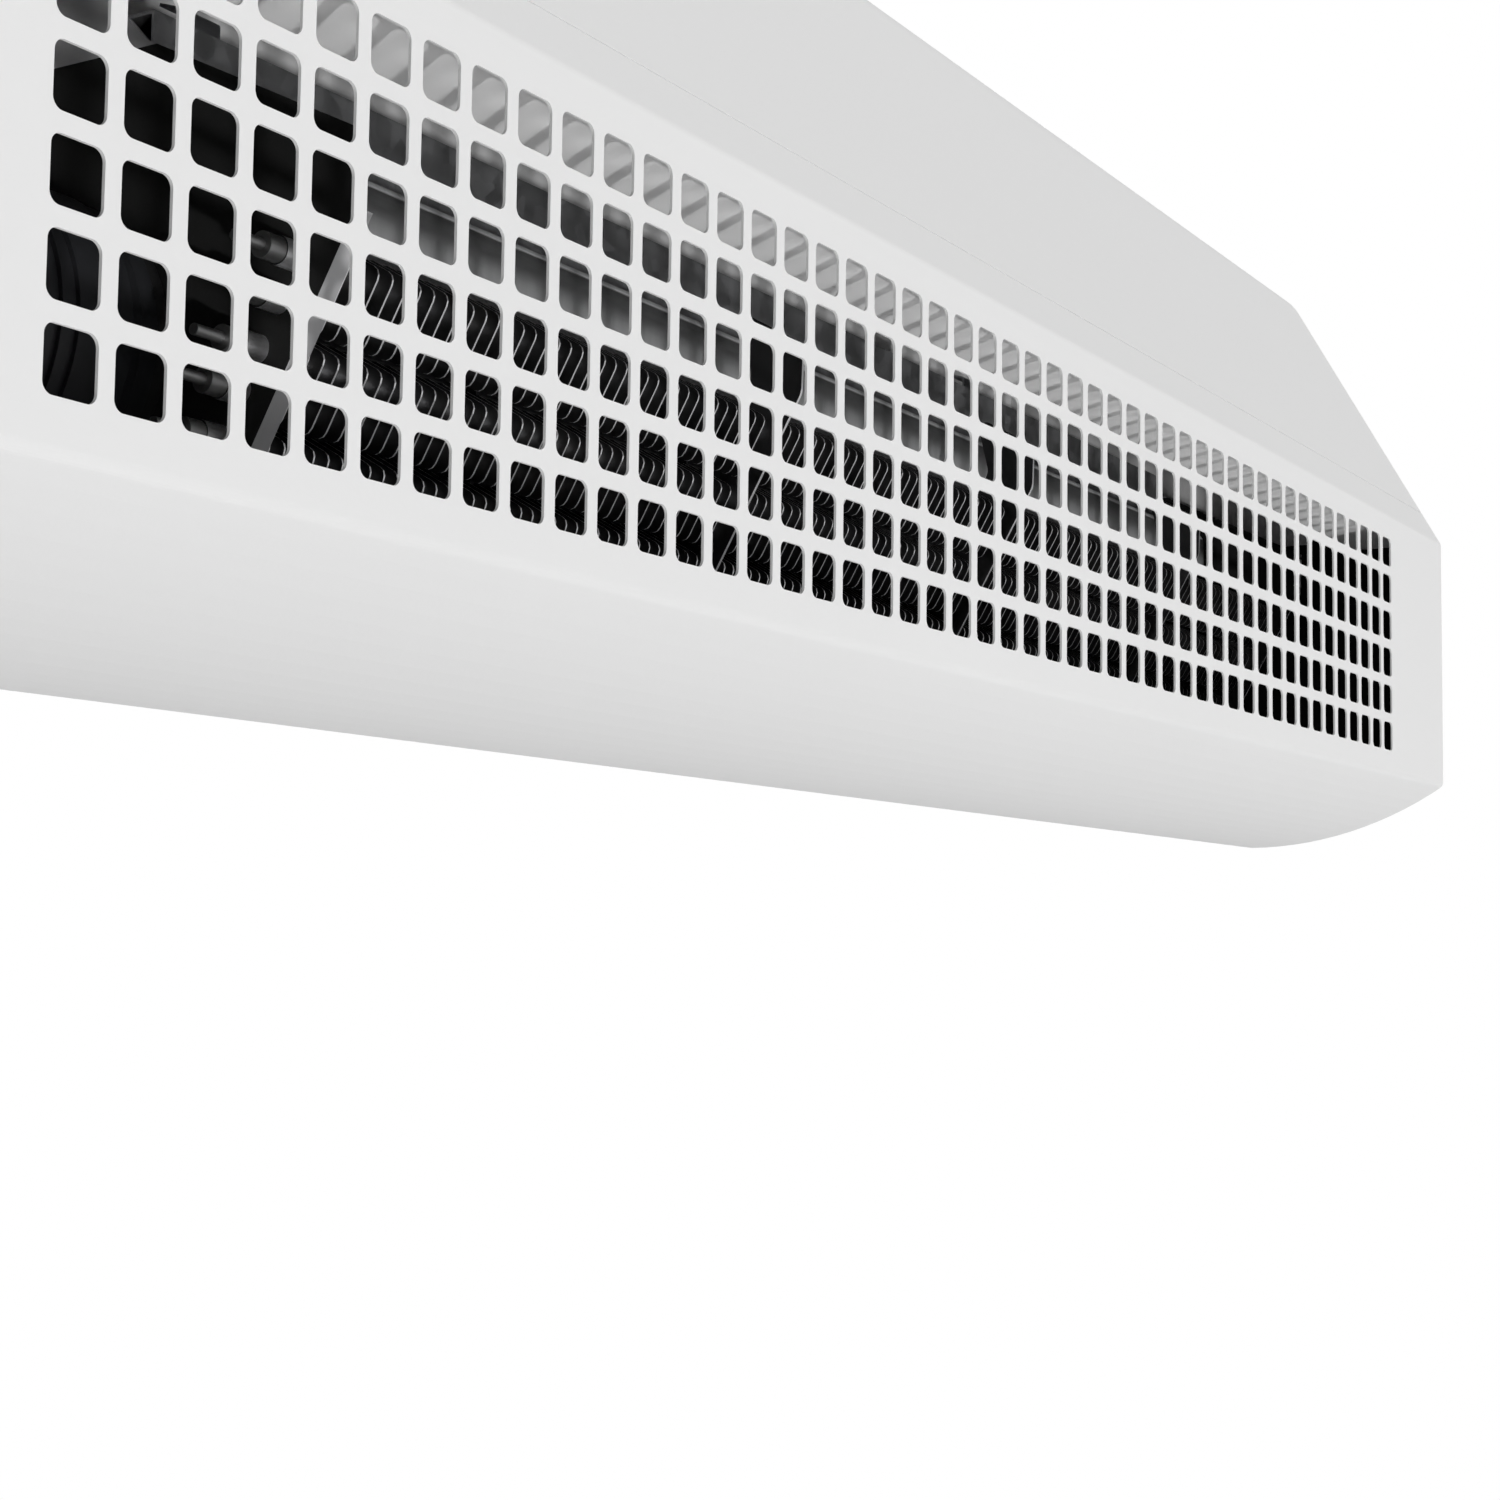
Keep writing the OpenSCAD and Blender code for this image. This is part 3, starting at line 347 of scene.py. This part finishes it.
def heater_steel(name, colour, edge):
    """Heater fins: dusky rolled faces with a faint heat tint, and bright edges that are partly
    bare shear-cut metal and partly a painted highlight where the edges catch the light.
    """
    p = Paint(name)
    heat = p.noise(HEAT_CELLS)
    grain = p.noise(FIN_GRAIN_CELLS, 3.0, 0.6)
    warm = (colour[0] * 1.15, colour[1] * 1.08, colour[2])
    face = p.ramp(heat, [(0.3, tinted(colour, 0.7)), (0.55, colour), (0.75, warm)])
    # Edges lighter than faces by their facing: partly bare metal, partly a painted highlight
    across = p.axis("X", p.facing)
    sheared_edge_highlight = 1.0 - (across * across).over(0.5)
    return p.finish(
        colour=p.blend(sheared_edge_highlight, face, p.shades(grain, edge, 0.85, 1.0)), metal=0.9,
        rough=varied(0.34, (grain, 0.18), (heat, 0.1)), normal=p.bump(grain, 0.06, FIN_DEPTH),
    )


def moulding(name, colour, rough, grain_cells=FINE_GRAIN_CELLS, metal=0.0):
    """A matt moulding or casting with a fine grain and slight marks."""
    p = Paint(name)
    grain = p.noise(grain_cells, 2.0, 0.6)
    marks = p.noise(MARK_CELLS, 4.0, 0.6)
    return p.finish(
        colour=p.shades(marks, colour, 0.85, 1.15), metal=metal,
        rough=varied(rough, (grain, 0.1), (marks, 0.14)),
        normal=p.bump(grain, 0.12, MOULDING_DEPTH),
    )


def circuit_board(name, colour):
    """Green board: thin pale tracks in the lacquer."""
    p = Paint(name)
    step = p.noise(TRACK_CELLS, 0.0)
    along = (p.axis("Z", p.place) * TRACKS_ALONG + step * 6.0).sine().over(0.82)
    across = (p.axis("X", p.place) * TRACKS_ACROSS + step * 9.0).sine().over(0.9)
    tracks = (along + across).clamped()
    pale = (colour[0] * 2.2 + 0.03, colour[1] * 1.7, colour[2] * 1.9)
    return p.finish(
        colour=p.blend(tracks, colour, pale), rough=0.42 - tracks * 0.08,
        normal=p.bump(tracks, 0.2, TRACK_DEPTH),
    )


def dress(names, material):
    """Give each named piece the one material."""
    for name in names:
        if name not in NODES:
            raise RuntimeError("no node named " + name)
        slots = NODES[name].data.materials
        slots.clear()
        slots.append(material)


def soften(name, width):
    """Round the sharp edges of a piece, as paint does."""
    bevel = NODES[name].modifiers.new("edge", "BEVEL")
    bevel.width = width
    bevel.segments = EDGE_SEGMENTS
    bevel.limit_method = "ANGLE"
    bevel.angle_limit = SHARP_ANGLE
    bevel.harden_normals = True


# ------------------------------------------------------------------ sizes and colours

def colour_prop(name, value, about):
    return bpy.props.FloatVectorProperty(
        name=name, description=about, subtype="COLOR", size=3, min=0.0, max=1.0, default=value)


def power_prop(name, value, about):
    return bpy.props.FloatProperty(
        name=name, description=about, subtype="POWER", min=0.0, max=900.0, default=value)


class CasingFinish(bpy.types.PropertyGroup):
    """The casing's paint and painted shade"""
    paint: colour_prop("Casing paint", (0.71, 0.71, 0.71), "Colour of the powder paint")
    # Inner paint: set lighter than the casing paint, though both stand for one white paint, as
    # painted light on the sheets behind the grille
    inner: colour_prop(
        "Inner paint", (0.94, 0.94, 0.94), "Colour of the painted sheets behind the grille")
    flange: colour_prop(
        "Left bulkhead", (0.5, 0.5, 0.51), "Colour of the left bulkhead and its flange")
    # This dark colour is a painted shade on the end panels and bulkheads
    painted_shade_colour: colour_prop(
        "Lining", (0.012, 0.012, 0.012), "Colour of the felt on the end panels and bulkheads")
    gloss: bpy.props.FloatProperty(
        name="Roughness", description="Roughness of the powder paint", default=0.6, min=0.05,
        max=1.0, subtype="FACTOR")
    edge: bpy.props.FloatProperty(
        name="Edge radius", description="Radius that the paint gives to the punched edges",
        default=0.0003, min=0.0, max=0.0006, unit="LENGTH")


class MetalFinish(bpy.types.PropertyGroup):
    """The bare metals behind the grille and at the back"""
    zinc: colour_prop("Zinc", (0.56, 0.57, 0.59), "Colour of the galvanised sheet")
    cover: colour_prop("Fan cover", (0.5, 0.505, 0.515), "Colour of the dull sheet over the fan")
    # The rail's bands of painted reflection are shares of this colour
    rail: colour_prop("Rail", (0.92, 0.93, 0.94), "Colour of the bright rail")
    steel: colour_prop("Steel", (0.5, 0.51, 0.53), "Colour of the pins, screws, shafts and clips")
    dull_steel: colour_prop(
        "Dull steel", (0.3, 0.3, 0.3), "Colour of the heater's terminals and the bearing")
    heater: colour_prop("Heater", (0.1, 0.1, 0.103), "Colour of the fins' faces and the tubes")
    # The fin edge colour is partly bare metal and partly a painted highlight
    sheared_edge_highlight: colour_prop("Fin edges", (0.9, 0.9, 0.91), "Colour of the bright edges of the fins")
    spangle: bpy.props.FloatProperty(
        name="Spangle", description="Zinc crystals in one metre", default=160.0, min=20.0,
        max=600.0)


class FittingFinish(bpy.types.PropertyGroup):
    """The fan, the rubber and the electrics"""
    rotor: colour_prop("Rotor", (0.03, 0.03, 0.032), "Colour of the rotor's resin")
    motor: colour_prop("Motor", (0.035, 0.036, 0.04), "Colour of the motor's paint")
    rubber: colour_prop(
        "Rubber", (0.022, 0.022, 0.023), "Colour of the motor's and the bearing's rubber")
    thermostat: colour_prop(
        "Thermostat", (0.035, 0.033, 0.032), "Colour of the thermostat's resin")
    board: colour_prop("Board", (0.02, 0.13, 0.06), "Colour of the control board's lacquer")
    terminals: colour_prop(
        "Terminals", (0.68, 0.67, 0.62), "Colour of the terminal block and the capacitor")
    gland: colour_prop("Gland", (0.03, 0.03, 0.03), "Colour of the cable gland")


class StageLook(bpy.types.PropertyGroup):
    """The lights and the floor"""
    sky: bpy.props.FloatProperty(
        name="Sky light", description="Strength of the even light round the unit", default=0.31,
        min=0.0, max=2.0)
    top: power_prop("Top light", 152.0, "Power of the large soft lamp above")
    fill: power_prop("Fill light", 75.0, "Power of the large soft lamp in front below")
    low: power_prop("Low light", 244.0, "Power of the lamp that shines up through the grille")
    floor: bpy.props.FloatProperty(
        name="Floor", description="Height of the floor, measured from the wall bolts",
        default=-3.8, unit="LENGTH")


# ------------------------------------------------------------------ operators

WHITE_SHEETS = (
    "hood", "front_cover", "base_panel", "seam_strip", "outlet_frame",
    "vane_front", "vane_middle", "vane_rear",
)
INNER_SHEETS = ("back_plate", "cover_ledge")
ZINC_SHEETS = (
    "wall_bracket", "hanger_rail", "cover_ears", "end_angles",
    "scroll", "tongue_plate", "heater_lower_rail", "control_plate",
)
HEATER_PIECES = (
    "heater_element_upper", "heater_element_middle", "heater_element_lower",
    "heater_bends", "heater_plates",
)
STEEL_PIECES = (
    "spring_clips", "hinge_pins", "casing_screws", "suspension_nuts", "motor_shaft", "end_shaft",
    "motor_screws", "vane_link", "wire_clips",
)

# Places and sizes are in metres, in the frame of the wall bolts
FLOOR_HALF = 30.0
PAPER_DARK, PAPER_LIGHT = (0.86, 0.86, 0.86), (0.9, 0.9, 0.9)
PAPER_CELLS = 30.0

LAMP_AIM = (0.0, -0.2, 0.0)
TOP_PLACE, TOP_SIZE = (3.0, -2.4, 5.3), 2.0
FILL_PLACE, FILL_SIZE = (-0.4, -4.4, -2.6), 1.8
# Small and low, so that the bars' shadows fall slanting on the ledge behind the top holes
LOW_PLACE, LOW_SIZE = (-3.72, -6.2, -3.40), 0.24

CAMERA_PLACE = (-0.7411, -0.5908, -0.3087)
CAMERA_AHEAD = (0.8538, 0.5140, 0.0821)
CAMERA_UPWARD = (-0.0773, -0.0308, 0.9965)
CAMERA_NEAR = 0.02
# In millimetres, as camera data has them
CAMERA_LENS, CAMERA_SENSOR = 58.49, 36.0


class PaintCasing(bpy.types.Operator):
    """Paint the casing, the outlet and the vanes"""
    bl_idname = "curtain.paint_casing"
    bl_label = "Paint casing"

    def execute(self, context):
        look = context.scene.curtain_casing
        dress(WHITE_SHEETS, powder_paint("white_powder_paint", look.paint, look.gloss))
        # The sheets behind the grille and the right bulkhead get the lighter inner paint, a
        # painted light
        dress(INNER_SHEETS, powder_paint("inner_paint", look.inner, look.gloss))
        for side, inward, tone in (("left", 1.0, look.flange), ("right", -1.0, look.inner)):
            dress(["end_panel_" + side], panel_with_painted_shade(
                "lined_panel_" + side, look.paint, look.gloss, look.painted_shade_colour, inward))
            dress(["bulkhead_" + side], bulkhead_with_painted_shade(
                "lined_bulkhead_" + side, tone, look.gloss, look.painted_shade_colour))
        soften("front_cover", look.edge)
        soften("hood", look.edge)
        return {"FINISHED"}


class PlateSheets(bpy.types.Operator):
    """Give the inner sheets their zinc, the rail its painted reflection and the pins their steel
    """
    bl_idname = "curtain.plate_sheets"
    bl_label = "Plate sheets"

    def execute(self, context):
        look = context.scene.curtain_metal
        dress(ZINC_SHEETS, zinc_sheet("galvanised_sheet", look.zinc, 0.37, look.spangle))
        dress(["fan_cover"], zinc_sheet("dull_zinc", look.cover, 0.51, look.spangle))
        rail = NODES["fan_rail"]
        rail_z = [(rail.matrix_world @ Vector(corner)).z for corner in rail.bound_box]
        foot, head = min(rail_z), max(rail_z)
        dress(["fan_rail"], rail_with_painted_reflection("rail_with_painted_reflection", look.rail, foot, head - foot))
        dress(STEEL_PIECES, bright_steel("plain_steel", look.steel, 0.31))
        return {"FINISHED"}


class FinishHeater(bpy.types.Operator):
    """Finish the heating elements, their plates and terminals, the bearing and the thermostat"""
    bl_idname = "curtain.finish_heater"
    bl_label = "Finish heater"

    def execute(self, context):
        look = context.scene.curtain_metal
        fittings = context.scene.curtain_fittings
        dress(HEATER_PIECES, heater_steel("heater_steel", look.heater, look.sheared_edge_highlight))
        dress(["heater_terminals", "bearing"], bright_steel("dull_steel", look.dull_steel, 0.46))
        dress(["thermostat"], moulding("thermostat_resin", fittings.thermostat, 0.42))
        return {"FINISHED"}


class FinishFan(bpy.types.Operator):
    """Finish the rotor, the motor and its rubber"""
    bl_idname = "curtain.finish_fan"
    bl_label = "Finish fan"

    def execute(self, context):
        look = context.scene.curtain_fittings
        dress(["rotor_cage"], moulding("rotor_resin", look.rotor, 0.5))
        dress(["motor"], moulding("motor_paint", look.motor, 0.42, CASTING_GRAIN_CELLS, 0.1))
        dress(["motor_ring", "bearing_rubber"], moulding(
            "black_rubber", look.rubber, 0.72, RUBBER_GRAIN_CELLS))
        return {"FINISHED"}


class FinishControls(bpy.types.Operator):
    """Finish the board, the terminals, the capacitor and the gland"""
    bl_idname = "curtain.finish_controls"
    bl_label = "Finish controls"

    def execute(self, context):
        look = context.scene.curtain_fittings
        dress(["control_board"], circuit_board("circuit_board", look.board))
        dress(["terminal_block", "motor_capacitor"], moulding("pale_resin", look.terminals, 0.45))
        dress(["cable_gland"], moulding("gland_resin", look.gland, 0.5))
        return {"FINISHED"}


class SetStage(bpy.types.Operator):
    """Lay the floor, light the sky and hang the lamps"""
    bl_idname = "curtain.set_stage"
    bl_label = "Set stage"

    def execute(self, context):
        look = context.scene.curtain_stage
        self.lay_floor(context, look.floor)

        sky = Paint("studio", bpy.data.worlds)
        light = sky.node("ShaderNodeBackground", {}, {"Color": WHITE, "Strength": look.sky})
        context.scene.world = sky.finish_white(
            "ShaderNodeBackground", light, "ShaderNodeOutputWorld")

        self.hang_lamp(context, "top", look.top, TOP_PLACE, TOP_SIZE)
        self.hang_lamp(context, "fill", look.fill, FILL_PLACE, FILL_SIZE)
        self.hang_lamp(context, "low", look.low, LOW_PLACE, LOW_SIZE)
        context.scene.view_settings.view_transform = "Standard"
        return {"FINISHED"}

    @staticmethod
    def lay_floor(context, height):
        corners = [(-1, -1), (1, -1), (1, 1), (-1, 1)]
        mesh = bpy.data.meshes.new("floor")
        mesh.from_pydata(
            [(x * FLOOR_HALF, y * FLOOR_HALF, height) for x, y in corners], [], [(0, 1, 2, 3)])
        p = Paint("floor_paper")
        paper = p.node("ShaderNodeBsdfDiffuse", {}, {
            "Color": p.blend(p.noise(PAPER_CELLS), PAPER_DARK, PAPER_LIGHT),
        })
        mesh.materials.append(
            p.finish_white("ShaderNodeEmission", paper, "ShaderNodeOutputMaterial"))
        floor = bpy.data.objects.new("floor", mesh)
        context.collection.objects.link(floor)

    @staticmethod
    def hang_lamp(context, name, power, place, size):
        data = bpy.data.lights.new(name, "AREA")
        data.energy = power
        data.size = size
        lamp = bpy.data.objects.new(name, data)
        lamp.location = place
        ahead = Vector(LAMP_AIM) - Vector(place)
        lamp.rotation_euler = ahead.to_track_quat("-Z", "Y").to_euler()
        context.collection.objects.link(lamp)


class PlaceCamera(bpy.types.Operator):
    """Place the camera low beyond the left end, looking along the unit"""
    bl_idname = "curtain.place_camera"
    bl_label = "Place camera"

    def execute(self, context):
        data = bpy.data.cameras.new("camera")
        data.sensor_width = CAMERA_SENSOR
        data.lens = CAMERA_LENS
        data.clip_start = CAMERA_NEAR
        camera = bpy.data.objects.new("camera", data)
        ahead = Vector(CAMERA_AHEAD).normalized()
        right = ahead.cross(Vector(CAMERA_UPWARD)).normalized()
        up = right.cross(ahead)
        turn = Matrix((right, up, -ahead)).transposed().to_4x4()
        camera.matrix_world = Matrix.Translation(CAMERA_PLACE) @ turn
        context.collection.objects.link(camera)
        context.scene.camera = camera
        return {"FINISHED"}


OPERATORS = (
    PaintCasing, PlateSheets, FinishHeater, FinishFan, FinishControls, SetStage, PlaceCamera,
)
GROUPS = {
    "curtain_casing": CasingFinish,
    "curtain_metal": MetalFinish,
    "curtain_fittings": FittingFinish,
    "curtain_stage": StageLook,
}


class CurtainPanel(bpy.types.Panel):
    """Air curtain finishes"""
    bl_idname = "VIEW3D_PT_air_curtain"
    bl_label = "Air curtain"
    bl_space_type = "VIEW_3D"
    bl_region_type = "UI"
    bl_category = "Air curtain"

    def draw(self, context):
        for name in GROUPS:
            group = getattr(context.scene, name)
            box = self.layout.box()
            for key in group.__annotations__:
                box.prop(group, key)
        for operator in OPERATORS:
            self.layout.operator(operator.bl_idname)


def register():
    for cls in (*GROUPS.values(), *OPERATORS, CurtainPanel):
        bpy.utils.register_class(cls)
    for name, group in GROUPS.items():
        setattr(bpy.types.Scene, name, bpy.props.PointerProperty(type=group))


def unregister():
    for name in GROUPS:
        delattr(bpy.types.Scene, name)
    for cls in (CurtainPanel, *reversed(OPERATORS), *reversed(list(GROUPS.values()))):
        bpy.utils.unregister_class(cls)


def main():
    register()
    for operator in OPERATORS:
        module, name = operator.bl_idname.split(".")
        getattr(getattr(bpy.ops, module), name)()


if __name__ == "__main__":
    main()
